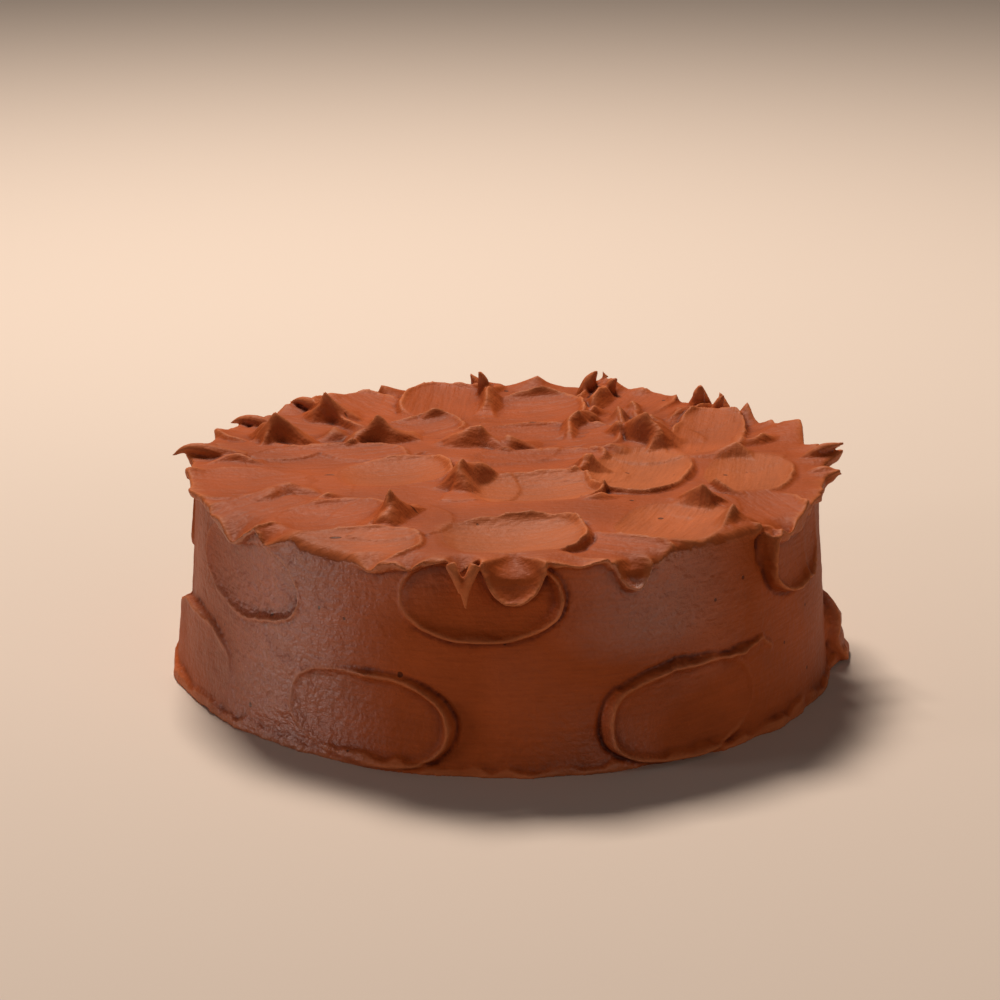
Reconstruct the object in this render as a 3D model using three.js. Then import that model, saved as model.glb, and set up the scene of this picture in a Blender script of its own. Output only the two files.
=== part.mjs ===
// A round chocolate layer cake, uncut, iced all over with chocolate buttercream. The wall is spread
// smooth and marked with two staggered rows of broad oval spatula presses. The top is worked into
// overlapping scooped swipes that end in raised lips and pulled tips, some leaning out past the rim.
// Nothing of the inside shows, so the cake and its icing are one solid.
//
// Millimetres, +Z up. The origin is the centre of the flat underside. The photographed side faces -Y.
// A bearing is an angle about +Z from +X, in degrees, so -90 is the front and 0 the right.
import * as THREE from 'three';

// Driving dimensions: a 9 inch cake, 9 inches being 229 mm across the foot.
const footRadius = 112.5;
const rimRadius = 106.5;
const rimHeight = 70;
const wallHollow = 1.3; // 1 is a straight wall, more keeps it upright near the top
const footSkirt = 1.2; // how far the scraped edge of icing at the foot stands out
const rimOverhang = 1.6; // how far the top icing laps out over the wall
const rimOverhangDepth = 7;

// Mesh steps.
const topRings = 30;
const pointsPerRingStep = 6;
const wallRows = 13;

// The spatula. Its print is a rounded oval with a lip of icing pushed up round it.
const bluntness = 2.4; // 2 is an ellipse, more is squarer
const edgeWidth = 2.2;
const lipWidth = 2.6;
const snapReach = 1.2; // vertices this near a lip are moved onto it
const peakClearance = 5; // and those this near a peak are left alone

// Swipes on the top, in the order in which they were spread. at is the middle of the print and
// heading the way the spatula moved, as a bearing. level is how far the print lies above the rim
// height, climb its rise towards the far end, cant its rise to the left, dish its depth in the middle.
// lip is the height of the lip at the far end, and ridge the height of the one along the left.
const topSwipes = [
  {
    at: [-78, 42], heading: 160, length: 50, width: 40,
    level: 0, climb: 1.5, cant: 0.5, dish: 1.2, lip: 1.2, ridge: 0.6,
  },
  {
    at: [-50, 70], heading: 130, length: 48, width: 36,
    level: 1, climb: 1.2, cant: 0.4, dish: 1.6, lip: 1.6, ridge: 1.0,
  },
  {
    at: [-22, 82], heading: 85, length: 44, width: 34,
    level: 0.6, climb: 1.0, cant: 0.8, dish: 1.8, lip: 1.4, ridge: 1.2,
  },
  {
    at: [42, 82], heading: 60, length: 46, width: 34,
    level: 1, climb: 1.4, cant: 0.6, dish: 1.4, lip: 1.6, ridge: 1.4,
  },
  {
    at: [82, 56], heading: 40, length: 46, width: 36,
    level: 0.8, climb: 1.2, cant: 0.2, dish: 1.6, lip: 1.4, ridge: 1.0,
  },
  {
    at: [72, 40], heading: 80, length: 52, width: 26,
    level: 1, climb: 1.6, cant: -0.4, dish: 1.5, lip: 1.6, ridge: 1.2,
  },
  {
    at: [8, 72], heading: 5, length: 40, width: 36,
    level: 0.6, climb: 1.2, cant: 1.2, dish: 2.2, lip: 1.4, ridge: 1.6,
  },
  {
    at: [-33, 48], heading: 20, length: 34, width: 24,
    level: 0, climb: 1.0, cant: 0.6, dish: 1.4, lip: 1.2, ridge: 1.0,
  },
  {
    at: [14, 34], heading: 10, length: 52, width: 34,
    level: 0, climb: 0.6, cant: 0.4, dish: 1.4, lip: 1.2, ridge: 0.6,
  },
  {
    at: [-62, 6], heading: 8, length: 56, width: 32,
    level: -0.2, climb: 0.6, cant: 0.4, dish: 1.2, lip: 0.8, ridge: 0.8,
  },
  {
    at: [-88, -22], heading: 190, length: 44, width: 34,
    level: 0, climb: 0.8, cant: -0.4, dish: 1.2, lip: 1.2, ridge: 0.4,
  },
  {
    at: [-38, -8], heading: 12, length: 38, width: 32,
    level: -0.2, climb: 0.8, cant: 0.6, dish: 2.0, lip: 1.8, ridge: 0.6,
  },
  {
    at: [12, 6], heading: 4, length: 48, width: 26,
    level: 0, climb: 0.6, cant: 0.2, dish: 1.2, lip: 1.0, ridge: 0.5,
  },
  {
    at: [-84, -56], heading: 215, length: 46, width: 30,
    level: -0.4, climb: -0.6, cant: -0.4, dish: 1.0, lip: 1.2, ridge: 0.6,
  },
  {
    at: [-56, -60], heading: 18, length: 36, width: 30,
    level: -0.2, climb: 0.8, cant: 0.6, dish: 1.8, lip: 1.8, ridge: 0.8,
  },
  {
    at: [-50, -88], heading: 6, length: 46, width: 26,
    level: -0.6, climb: 0.4, cant: 0.8, dish: 1.2, lip: 1.0, ridge: 0.8,
  },
  {
    at: [10, -28], heading: 6, length: 44, width: 32,
    level: -0.2, climb: 1.0, cant: 0.8, dish: 2.2, lip: 2.0, ridge: 1.0,
  },
  {
    at: [82, -10], heading: 262, length: 52, width: 30,
    level: 0.2, climb: 0.4, cant: 0.4, dish: 2.2, lip: 1.6, ridge: 1.0,
  },
  {
    at: [86, -52], heading: 300, length: 40, width: 28,
    level: -0.4, climb: -0.8, cant: 0.6, dish: 1.4, lip: 1.4, ridge: 1.0,
  },
  {
    at: [54, -66], heading: 250, length: 44, width: 34,
    level: -0.2, climb: 0.2, cant: 0.4, dish: 1.8, lip: 1.2, ridge: 1.2,
  },
  {
    at: [46, -6], heading: 258, length: 58, width: 34,
    level: 0.2, climb: 0.4, cant: 0.6, dish: 2.6, lip: 2.2, ridge: 1.6,
  },
  {
    at: [34, -92], heading: 340, length: 40, width: 22,
    level: -0.8, climb: -0.2, cant: 0.8, dish: 1.0, lip: 1.0, ridge: 0.8,
  },
  {
    at: [2, -80], heading: 6, length: 45, width: 34,
    level: -0.4, climb: 1.0, cant: 1.0, dish: 2.6, lip: 2.2, ridge: 1.4,
  },
];

// Peaks pulled up where the spatula left the icing. at is the point and height its rise above the
// swipes. crest is the bearing of its ridge and spread the half width along it. front and back are how
// far its steep and its gentle face reach, the steep one being on the right of the crest's bearing.
const topPeaks = [
  { at: [-46, 31], height: 10, crest: 5, spread: 14, front: 7, back: 15 },
  { at: [-8, 25], height: 8, crest: 0, spread: 15, front: 7, back: 14 },
  { at: [-82, 29], height: 11, crest: 12, spread: 12, front: 8, back: 13 },
  { at: [-15, -24], height: 9.5, crest: 62, spread: 12, front: 8, back: 10 },
  { at: [-38, -64], height: 9.5, crest: 60, spread: 12, front: 8, back: 10 },
  { at: [49, 30], height: 11, crest: -50, spread: 14, front: 8, back: 13 },
  { at: [28, -6], height: 6, crest: 30, spread: 9, front: 6, back: 8 },
  { at: [80, 16], height: 5, crest: 0, spread: 10, front: 6, back: 9 },
  { at: [64, -45], height: 7, crest: 150, spread: 8, front: 9, back: 5 },
  { at: [-60, 40], height: 5.5, crest: 15, spread: 10, front: 6, back: 9 },
  { at: [-70, -32], height: 4, crest: 15, spread: 13, front: 8, back: 8 },
  { at: [-8, 84], height: 7, crest: 80, spread: 20, front: 16, back: 4 },
  { at: [26, 50], height: 5.5, crest: 50, spread: 9, front: 6, back: 9 },
  { at: [74, -66], height: 5, crest: 65, spread: 9, front: 5, back: 8 },
  { at: [34, 84], height: 6, crest: 70, spread: 13, front: 7, back: 7 },
];
const peakSharpness = 1.35; // 1 is a straight flank, more a hollow one

// Places where the icing is pulled out into a tip or a curl. bearing, out and up are the place it is
// pulled from. It goes outwards by reach, upwards by rise and sideways, anticlockwise, by drift, and
// spread is how far round it the icing follows.
const rim = { out: rimRadius, up: rimHeight };
const pulls = [
  { ...rim, bearing: 176, reach: 9, rise: 4, drift: 1, spread: 10 },
  { ...rim, bearing: 159, reach: 4.5, rise: 5.5, drift: 1.5, spread: 9 },
  { ...rim, bearing: 137, reach: 2.5, rise: 8, drift: 2, spread: 12 },
  { ...rim, bearing: 114, reach: 0, rise: 5.5, drift: 2, spread: 11 },
  { ...rim, bearing: 96, reach: 0, rise: 6, drift: 3, spread: 9 },
  { ...rim, bearing: 86, reach: 0, rise: 6.5, drift: -1, spread: 11 },
  { ...rim, bearing: 71.5, reach: 0, rise: 6.5, drift: 1, spread: 7 },
  { ...rim, bearing: 67, reach: 0, rise: 9, drift: 1.5, spread: 7 },
  { ...rim, bearing: 62, reach: 0, rise: 5.5, drift: -1, spread: 6 },
  { ...rim, bearing: 48, reach: 0, rise: 9.5, drift: 1, spread: 9 },
  { ...rim, bearing: 42, reach: 1, rise: 7, drift: 1.5, spread: 7 },
  { ...rim, bearing: 36, reach: 3, rise: 5, drift: -2, spread: 8 },
  { ...rim, bearing: 22, reach: 5, rise: 6, drift: 1, spread: 12 },
  { ...rim, bearing: 3, reach: 9.5, rise: 6, drift: 0.5, spread: 11 },
  { ...rim, bearing: -6, reach: 8, rise: 3, drift: -1, spread: 9 },
  { ...rim, bearing: -17, reach: 2.5, rise: 2, drift: 0, spread: 8 },
  { ...rim, bearing: -165, reach: 3, rise: 1.5, drift: 0, spread: 8 },
  { ...rim, bearing: -155, reach: 3, rise: 1, drift: 0, spread: 8 },
  { ...rim, bearing: -137, reach: 3, rise: -5, drift: 1, spread: 10 },
  { ...rim, bearing: -117, reach: 3, rise: -6, drift: 0, spread: 9 },
  { ...rim, bearing: -97, reach: 4.5, rise: -12, drift: 0, spread: 7.5 },
  { ...rim, bearing: -89, reach: 5.5, rise: -11, drift: 0, spread: 15 },
  { ...rim, bearing: -71.5, reach: 4.5, rise: -8.5, drift: 0, spread: 11 },
  { ...rim, bearing: -55, reach: 2.5, rise: -4, drift: 0, spread: 10 },
  { ...rim, bearing: -41, reach: 4, rise: -9, drift: 0, spread: 11 },
  { out: footRadius, up: 15, bearing: 2, reach: 5, rise: 1, drift: 0, spread: 10 },
  { out: footRadius, up: 5, bearing: 3, reach: 8, rise: 0, drift: 0, spread: 11 },
];
const pullSharpness = 2;

// Broad presses on the wall, each about a seventh of the way round. bearing and up are the middle of
// the print, roll turns it anticlockwise as seen from outside. stand is how far it lies out from the
// wall, climb how much further its right edge and cant how much further its top edge.
const shownPresses = [
  {
    bearing: -163, up: 14, length: 66, height: 32, roll: 4,
    stand: 1.8, climb: -1.8, cant: 0.2, dish: 0.8, lip: 0.6,
  },
  {
    bearing: -143, up: 52, length: 54, height: 23, roll: 0,
    stand: -0.2, climb: -0.8, cant: -0.5, dish: 1.0, lip: 0.7,
  },
  {
    bearing: -114, up: 16, length: 55, height: 29, roll: -4,
    stand: 0.3, climb: 0.9, cant: -0.6, dish: 1.4, lip: 1.4,
  },
  {
    bearing: -94.5, up: 57, length: 51, height: 27, roll: 0,
    stand: -0.2, climb: 0.1, cant: -1.8, dish: 1.8, lip: 1.6,
  },
  {
    bearing: -59, up: 16.5, length: 55, height: 30, roll: 2,
    stand: 0.9, climb: -1.4, cant: -0.4, dish: 1.6, lip: 1.8,
  },
  {
    bearing: -28.5, up: 60, length: 44, height: 30, roll: 0,
    stand: 1.8, climb: -1.2, cant: -0.4, dish: 1.6, lip: 1.5,
  },
  {
    bearing: 6, up: 9, length: 40, height: 26, roll: -3,
    stand: 2, climb: -1.6, cant: 0, dish: 1.0, lip: 1.4,
  },
];

// The back of the wall carries on the same two rows, with a press every seventh of a turn.
const pressStep = 360 / 7;
const upperRow = { first: 21, count: 4, up: 56, length: 52, height: 26 };
const lowerRow = { first: 53, count: 3, up: 17, length: 57, height: 30 };

const degrees = THREE.MathUtils.degToRad;
const mix = THREE.MathUtils.lerp;
const smoothStep = (value, low, high) => THREE.MathUtils.smoothstep(value, low, high);

// The difference between two bearings in radians, from -pi to pi.
function turnBetween(a, b) {
  return Math.atan2(Math.sin(a - b), Math.cos(a - b));
}

// A slow, repeatable unevenness between -1 and 1.
function waver(a, b, seed) {
  const first = Math.sin(a * 1.7 + b * 1.1 + seed);
  const second = Math.sin(a * 0.9 - b * 2.3 + seed * 2.1);
  const third = Math.sin(a * 2.9 + b * 1.9 + seed * 0.7);
  return (first + second + third) / 3;
}

// Presses on the hidden side of the wall, by rule, with the shown ones varied in turn.
function hiddenPresses(row, seed) {
  return Array.from({ length: row.count }, (_, i) => {
    const vary = waver(i * 2.1, row.up, seed);
    return {
      bearing: row.first + pressStep * i + 5 * vary,
      up: row.up + 3 * vary,
      length: row.length * (1 + 0.15 * vary),
      height: row.height * (1 - 0.1 * vary),
      roll: 8 * vary,
      stand: 0.5 + 0.5 * vary,
      climb: -1.3 * vary,
      cant: -0.8,
      dish: 1.5,
      lip: 1.4,
    };
  });
}

const wallPresses = [...shownPresses, ...hiddenPresses(upperRow, 1), ...hiddenPresses(lowerRow, 4)];

// How far out a point lies in an oval print: 0 in the middle and 1 on its edge.
function reachIn(along, across) {
  return (Math.abs(along) ** bluntness + Math.abs(across) ** bluntness) ** (1 / bluntness);
}

// The surface after one print is pressed into it. halfSize is the print's mean half width, floor the
// print's own surface there and lip the height of its lip there.
function press(surface, reach, halfSize, floor, lip) {
  const fromEdge = (reach - 1) * halfSize;
  const covered = 1 - smoothStep(fromEdge, -edgeWidth / 2, edgeWidth / 2);
  return mix(surface, floor, covered) + lip * Math.exp(-((fromEdge / lipWidth) ** 2));
}

// A place on the top in a swipe's own directions, where 1 is the edge of the print.
function inSwipe(swipe, x, y) {
  const turn = degrees(swipe.heading);
  const dx = x - swipe.at[0];
  const dy = y - swipe.at[1];
  const along = (dx * Math.cos(turn) + dy * Math.sin(turn)) / (swipe.length / 2);
  const across = (dy * Math.cos(turn) - dx * Math.sin(turn)) / (swipe.width / 2);
  return { along, across, reach: reachIn(along, across) };
}

// The rise of one peak at a place on the top.
function peakRise(peak, x, y) {
  const turn = degrees(peak.crest);
  const dx = x - peak.at[0];
  const dy = y - peak.at[1];
  const along = (dx * Math.cos(turn) + dy * Math.sin(turn)) / peak.spread;
  const left = dy * Math.cos(turn) - dx * Math.sin(turn);
  const across = left / (left > 0 ? peak.back : peak.front);
  const reach = (Math.abs(along) ** 1.5 + Math.abs(across) ** 1.5) ** (1 / 1.5);
  return peak.height * Math.max(0, 1 - reach) ** peakSharpness;
}

// The height of the iced top.
function topHeight(x, y) {
  let height = rimHeight + 0.8 * waver(x / 22, y / 22, 0.4);
  for (const swipe of topSwipes) {
    const { along, across, reach } = inSwipe(swipe, x, y);
    if (reach > 1.6) continue;
    const slope = swipe.climb * along + swipe.cant * across;
    const floor = rimHeight + swipe.level + slope - swipe.dish * (1 - reach ** 2);
    const end = Math.max(0, along) / Math.max(reach, 0.01);
    const side = Math.max(0, across) / Math.max(reach, 0.01);
    const lip = swipe.lip * end ** 2 + swipe.ridge * side ** 2;
    height = press(height, reach, (swipe.length + swipe.width) / 4, floor, lip);
  }
  return height + Math.max(...topPeaks.map((peak) => peakRise(peak, x, y)));
}

// The radius of the spread wall, before any press.
function plainWall(bearing, z) {
  const flare = Math.max(0, 1 - z / rimHeight) ** wallHollow;
  const lap = smoothStep(z, rimHeight - rimOverhangDepth, rimHeight);
  const lapDepth = rimOverhang * (0.55 + 0.45 * waver(bearing * 9, 0, 2));
  const skirt = Math.exp(-(((z - 2) / 2.2) ** 2));
  const skirtDepth = footSkirt * (0.5 + 0.5 * waver(bearing * 7, 1, 5));
  const uneven = 0.5 * waver(bearing * 5, z / 18, 3);
  return mix(rimRadius, footRadius, flare) + lapDepth * lap + skirtDepth * skirt + uneven;
}

// A place on the wall in a press's own directions, where 1 is the edge of the print.
function inPress(oval, bearing, z) {
  const turn = degrees(oval.roll);
  const sideways = turnBetween(bearing, degrees(oval.bearing)) * rimRadius;
  const upwards = z - oval.up;
  const along = (sideways * Math.cos(turn) + upwards * Math.sin(turn)) / (oval.length / 2);
  const across = (upwards * Math.cos(turn) - sideways * Math.sin(turn)) / (oval.height / 2);
  return { along, across, reach: reachIn(along, across) };
}

// The radius of the wall with the presses in it.
function wallRadius(bearing, z) {
  const plain = plainWall(bearing, z);
  let radius = plain;
  for (const oval of wallPresses) {
    const { along, across, reach } = inPress(oval, bearing, z);
    if (reach > 1.6) continue;
    const slope = oval.climb * along + oval.cant * across;
    const floor = plain + oval.stand + slope - oval.dish * (1 - reach ** 2);
    radius = press(radius, reach, (oval.length + oval.height) / 4, floor, oval.lip);
  }
  return radius;
}

// Moves a place on the wall onto the lip of a press, if it is near enough.
function snapToPress(bearing, z) {
  for (const oval of wallPresses) {
    const { reach } = inPress(oval, bearing, z);
    const halfSize = (oval.length + oval.height) / 4;
    if (Math.abs(reach - 1) * halfSize < snapReach) {
      const middle = degrees(oval.bearing);
      return [middle + turnBetween(bearing, middle) / reach, oval.up + (z - oval.up) / reach];
    }
  }
  return [bearing, z];
}

// Moves a place on the top onto the lip of the uppermost swipe there, if it is near enough. Places
// round a peak stay, so that only the nearest of them moves, later, onto its point.
function snapToLip(x, y) {
  const beside = (peak) => Math.hypot(x - peak.at[0], y - peak.at[1]) < peakClearance;
  if (topPeaks.some(beside)) return [x, y];
  for (const swipe of [...topSwipes].reverse()) {
    const { reach } = inSwipe(swipe, x, y);
    const halfSize = (swipe.length + swipe.width) / 4;
    if (Math.abs(reach - 1) * halfSize < snapReach) {
      return [swipe.at[0] + (x - swipe.at[0]) / reach, swipe.at[1] + (y - swipe.at[1]) / reach];
    }
    if (reach < 1) break;
  }
  return [x, y];
}

// The cake as one closed mesh: rings of points on the top, rows down the wall and a flat underside.
function cakeGeometry() {
  const points = [];
  const faces = [];
  const ringStart = [0];
  points.push(0, 0, topHeight(0, 0));
  for (let ring = 1; ring <= topRings; ring++) {
    ringStart.push(points.length / 3);
    const count = pointsPerRingStep * ring;
    for (let i = 0; i < count; i++) {
      const bearing = (2 * Math.PI * i) / count;
      const edge = wallRadius(bearing, rimHeight);
      let x = (edge * ring * Math.cos(bearing)) / topRings;
      let y = (edge * ring * Math.sin(bearing)) / topRings;
      if (ring < topRings) [x, y] = snapToLip(x, y);
      points.push(x, y, topHeight(x, y));
    }
  }
  for (const peak of topPeaks) {
    const distance = (i) => Math.hypot(points[3 * i] - peak.at[0], points[3 * i + 1] - peak.at[1]);
    const inside = Array.from({ length: ringStart[topRings] }, (_, i) => i);
    const nearest = inside.reduce((best, i) => (distance(i) < distance(best) ? i : best));
    points.splice(3 * nearest, 3, ...peak.at, topHeight(...peak.at));
  }
  for (let ring = 1; ring <= topRings; ring++) {
    const inner = ringStart[ring - 1];
    const outer = ringStart[ring];
    const innerCount = Math.max(1, pointsPerRingStep * (ring - 1));
    const outerCount = pointsPerRingStep * ring;
    for (let sector = 0; sector < pointsPerRingStep; sector++) {
      for (let i = 0; i < ring; i++) {
        const a = outer + ((sector * ring + i) % outerCount);
        const b = outer + ((sector * ring + i + 1) % outerCount);
        const c = inner + ((sector * (ring - 1) + i) % innerCount);
        faces.push(a, b, c);
        if (i < ring - 1) faces.push(b, inner + ((sector * (ring - 1) + i + 1) % innerCount), c);
      }
    }
  }
  const columns = pointsPerRingStep * topRings;
  let above = ringStart[topRings];
  for (let row = 1; row <= wallRows; row++) {
    const here = points.length / 3;
    for (let i = 0; i < columns; i++) {
      const bearing = (2 * Math.PI * i) / columns;
      const rimLevel = points[(ringStart[topRings] + i) * 3 + 2];
      const level = rimLevel * (1 - row / wallRows);
      const [around, z] = row < wallRows ? snapToPress(bearing, level) : [bearing, 0];
      const radius = wallRadius(around, z);
      points.push(radius * Math.cos(around), radius * Math.sin(around), z);
    }
    for (let i = 0; i < columns; i++) {
      const next = (i + 1) % columns;
      faces.push(above + i, here + i, above + next, above + next, here + i, here + next);
    }
    above = here;
  }
  const centre = points.length / 3;
  points.push(0, 0, 0);
  for (let i = 0; i < columns; i++) faces.push(centre, above + ((i + 1) % columns), above + i);
  const geometry = new THREE.BufferGeometry();
  geometry.setAttribute('position', new THREE.Float32BufferAttribute(points, 3));
  geometry.setIndex(faces);
  return geometry;
}

// A direction along the ground, as a bearing.
function heading(bearing) {
  return new THREE.Vector3(Math.cos(degrees(bearing)), Math.sin(degrees(bearing)), 0);
}

// Pulls the tips and curls out of the icing: the nearest point goes all the way, its neighbours part
// of it, and the flat underside stays.
function pullTips(geometry) {
  const place = geometry.getAttribute('position');
  const pointAt = (_, i) => new THREE.Vector3().fromBufferAttribute(place, i);
  const still = Array.from({ length: place.count }, pointAt);
  const moved = still.map((point) => point.clone());
  for (const pull of pulls) {
    const asked = heading(pull.bearing).multiplyScalar(pull.out).setZ(pull.up);
    const nearer = (best, point) => (point.distanceTo(asked) < best.distanceTo(asked) ? point : best);
    const root = still.reduce(nearer);
    const shift = heading(pull.bearing)
      .multiplyScalar(pull.reach)
      .addScaledVector(heading(pull.bearing + 90), pull.drift);
    shift.z = pull.rise;
    still.forEach((point, i) => {
      const follow = Math.max(0, 1 - point.distanceTo(root) / pull.spread) ** pullSharpness;
      if (point.z > 0) moved[i].addScaledVector(shift, follow);
    });
  }
  place.copyArray(moved.flatMap((point) => point.toArray()));
}

const geometry = cakeGeometry();
pullTips(geometry);

const icing = new THREE.MeshStandardMaterial({ color: 0x7a4028, roughness: 0.5, metalness: 0 });
const cake = new THREE.Mesh(geometry, icing);
cake.name = 'iced_cake';

const group = new THREE.Group();
group.add(cake);
export default group;
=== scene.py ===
"""A round chocolate cake iced in buttercream, its top worked into scoops and pulled peaks."""

import logging
import math
from dataclasses import dataclass, field
from enum import Enum

import bpy
import numpy as np
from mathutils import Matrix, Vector


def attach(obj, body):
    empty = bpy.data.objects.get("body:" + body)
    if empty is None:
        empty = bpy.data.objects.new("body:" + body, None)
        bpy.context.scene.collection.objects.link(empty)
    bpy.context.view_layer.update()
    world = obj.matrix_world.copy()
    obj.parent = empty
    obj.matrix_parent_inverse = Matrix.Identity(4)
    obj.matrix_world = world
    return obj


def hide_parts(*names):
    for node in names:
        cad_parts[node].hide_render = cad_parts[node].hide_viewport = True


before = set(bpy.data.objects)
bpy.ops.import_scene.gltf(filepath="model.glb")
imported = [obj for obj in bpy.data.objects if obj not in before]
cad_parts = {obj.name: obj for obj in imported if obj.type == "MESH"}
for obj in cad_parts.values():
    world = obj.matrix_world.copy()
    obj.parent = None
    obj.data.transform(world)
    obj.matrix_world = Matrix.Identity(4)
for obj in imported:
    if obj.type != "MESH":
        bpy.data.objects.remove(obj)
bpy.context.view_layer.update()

log = logging.getLogger("cake")

MM = 0.001
TURN = 360.0
LATTICE = 32

# The edge of a print: how wide it blends, its lip inside and outside the edge, and the crease beyond.
EDGE = 0.8
INNER_LIP = 1.5
OUTER_LIP = 0.75
CREASE = 0.30
CREASE_OUT = 1.9

# How far out a print still works the icing, where its edge is 1, and the gap between prints' combs.
PRINT_REACH = 1.6
PRINT_GAP = 9.0

# Twice the length and the width of the streaks in a print, and of the finer ones between them.
STREAK = (46.0, 3.4)
FINE_STREAK = (30.0, 1.7)

# Points lower than this stay on the table.
FOOT = 0.3

# Three waves whose mean makes the hidden presses unlike one another.
WAVES = ((1.7, 1.1, 1.0), (0.9, -2.3, 2.1), (2.9, 1.9, 0.7))


class Grain(Enum):
    """How fine the icing is modelled, as a voxel size in millimetres."""

    DRAFT = 1.0
    FULL = 0.6


def smooth_step(value: np.ndarray, low: float, high: float) -> np.ndarray:
    """Eases from 0 at low to 1 at high.

    Args:
        value: The places along the ramp.
        low: Where the ramp starts.
        high: Where it ends.

    Returns:
        A number from 0 to 1 for each place.
    """
    part = np.clip((value - low) / (high - low), 0.0, 1.0)
    return part * part * (3.0 - 2.0 * part)


def turn_between(bearing: np.ndarray, middle: float) -> np.ndarray:
    """Gives how far each bearing lies anticlockwise of a middle one, in degrees from -180 to 180."""
    return (bearing - middle + 180.0) % TURN - 180.0


@dataclass(frozen=True)
class Unevenness:
    """Smooth, repeatable bumps between -1 and 1, all of one size."""

    seed: int
    size: float

    def at(self, x: np.ndarray, y: np.ndarray, z: np.ndarray | float = 0.0) -> np.ndarray:
        """Reads the bumps.

        Args:
            x: Places along the first direction, in the unit of size.
            y: Places along the second direction.
            z: Places along the third direction.

        Returns:
            The height of the bumps at each place.
        """
        lattice = np.random.default_rng(self.seed).uniform(-1.0, 1.0, (LATTICE, LATTICE, LATTICE))
        place = np.stack(np.broadcast_arrays(x, y, z), -1) / self.size
        cell = np.floor(place).astype(int)
        part = place - cell
        part = part * part * (3.0 - 2.0 * part)
        total = np.zeros(place.shape[:-1])
        for corner in np.ndindex(2, 2, 2):
            index = (cell + corner) % LATTICE
            weight = np.prod(np.where(np.array(corner) == 1, part, 1.0 - part), axis=-1)
            total += weight * lattice[index[..., 0], index[..., 1], index[..., 2]]
        return total


@dataclass
class Skin:
    """A skin of icing while it is worked: one number of each kind at every place.

    base is its level before any print and level its level now. wobble is how far the edge of a print
    strays, rough how uneven its lip is, comb the place along and across the last print, and tone how
    much paler its smooth floor is.
    """

    base: np.ndarray
    wobble: np.ndarray
    rough: np.ndarray
    comb: np.ndarray
    level: np.ndarray
    tone: np.ndarray


@dataclass(frozen=True)
class Print:
    """A rounded oval left by the spatula, as seen square on. Sizes are in millimetres.

    Places are given along and across it, where 1 is its edge.
    """

    length: float
    width: float
    level: float = 0.0
    climb: float = 0.0
    cant: float = 0.0
    dish: float = 1.4
    lips: tuple[tuple[float, float, float], ...] = ()
    bluntness: float = 2.4
    start: float = 0.9
    streaks: float = 0.05
    tone: float = 0.0

    def stamp(self, number: int, along: np.ndarray, across: np.ndarray, skin: Skin) -> None:
        """Presses the print into a skin of icing.

        Args:
            number: The print's own number, which sets its streaks apart from others'.
            along: Places along the print.
            across: Places across it.
            skin: The skin, which is changed.
        """
        near = self.reach(along, across) < PRINT_REACH
        along, across = along[near], across[near]
        reach = self.reach(along, across)
        from_middle = np.hypot(along * self.length, across * self.width) / 2
        from_edge = from_middle * (1.0 - 1.0 / reach) + skin.wobble[near]
        width = self.start + (EDGE - self.start) * smooth_step(along, -1.0, -0.2)
        covered = 1.0 - smooth_step(from_edge / width, -0.5, 0.5)
        far, aside = along * self.length, across * self.width
        groove = Unevenness(20 + number, 1.0).at(far / STREAK[0], aside / STREAK[1])
        fine = Unevenness(60 + number, 1.0).at(far / FINE_STREAK[0], aside / FINE_STREAK[1])
        floor = skin.base[near] + self.floor(along, across, reach) + self.streaks * (groove + 0.4 * fine)
        level = skin.level[near] * (1.0 - covered) + floor * covered
        skin.level[near] = level + self.lip(along, across, from_edge) * skin.rough[near]
        skin.tone[near] = skin.tone[near] * (1.0 - covered) + self.tone * covered
        apart = np.full_like(along, PRINT_GAP * number)
        stroke = np.stack([along * self.length / 2, across * self.width / 2, apart], -1)
        skin.comb[near] = np.where(covered[:, None] > 0.5, stroke, skin.comb[near])

    def lip(self, along: np.ndarray, across: np.ndarray, from_edge: np.ndarray) -> np.ndarray:
        """Gives the height of the lip pushed up round the print.

        Args:
            along: Places along the print.
            across: Places across it.
            from_edge: How far each place lies outside its edge, in millimetres.

        Returns:
            The height of the lip. Each lip has a direction as seen square on, anticlockwise from the
            far end, a half width in degrees and a height.
        """
        facing = np.degrees(np.arctan2(across * self.width, along * self.length))
        crest = np.zeros_like(from_edge)
        for direction, half_width, height in self.lips:
            aside = turn_between(facing, direction) / half_width
            crest = np.maximum(crest, height * np.exp(-(aside**2)))
        width = np.where(from_edge < 0, INNER_LIP, OUTER_LIP)
        crease = CREASE * np.exp(-(((from_edge - CREASE_OUT) / OUTER_LIP) ** 2))
        return crest * (np.exp(-((from_edge / width) ** 2)) - crease)

    def floor(self, along: np.ndarray, across: np.ndarray, reach: np.ndarray) -> np.ndarray:
        """Gives the level of the print's own hollow at each place."""
        hollow = self.dish * (1.0 - np.minimum(reach, 1.3) ** 2)
        return self.level + self.climb * along + self.cant * across - hollow

    def reach(self, along: np.ndarray, across: np.ndarray) -> np.ndarray:
        """Gives how far out each place lies: 0 in the middle of the print and 1 on its edge."""
        blunt = self.bluntness
        return (np.abs(along) ** blunt + np.abs(across) ** blunt) ** (1.0 / blunt) + 1e-6


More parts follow.
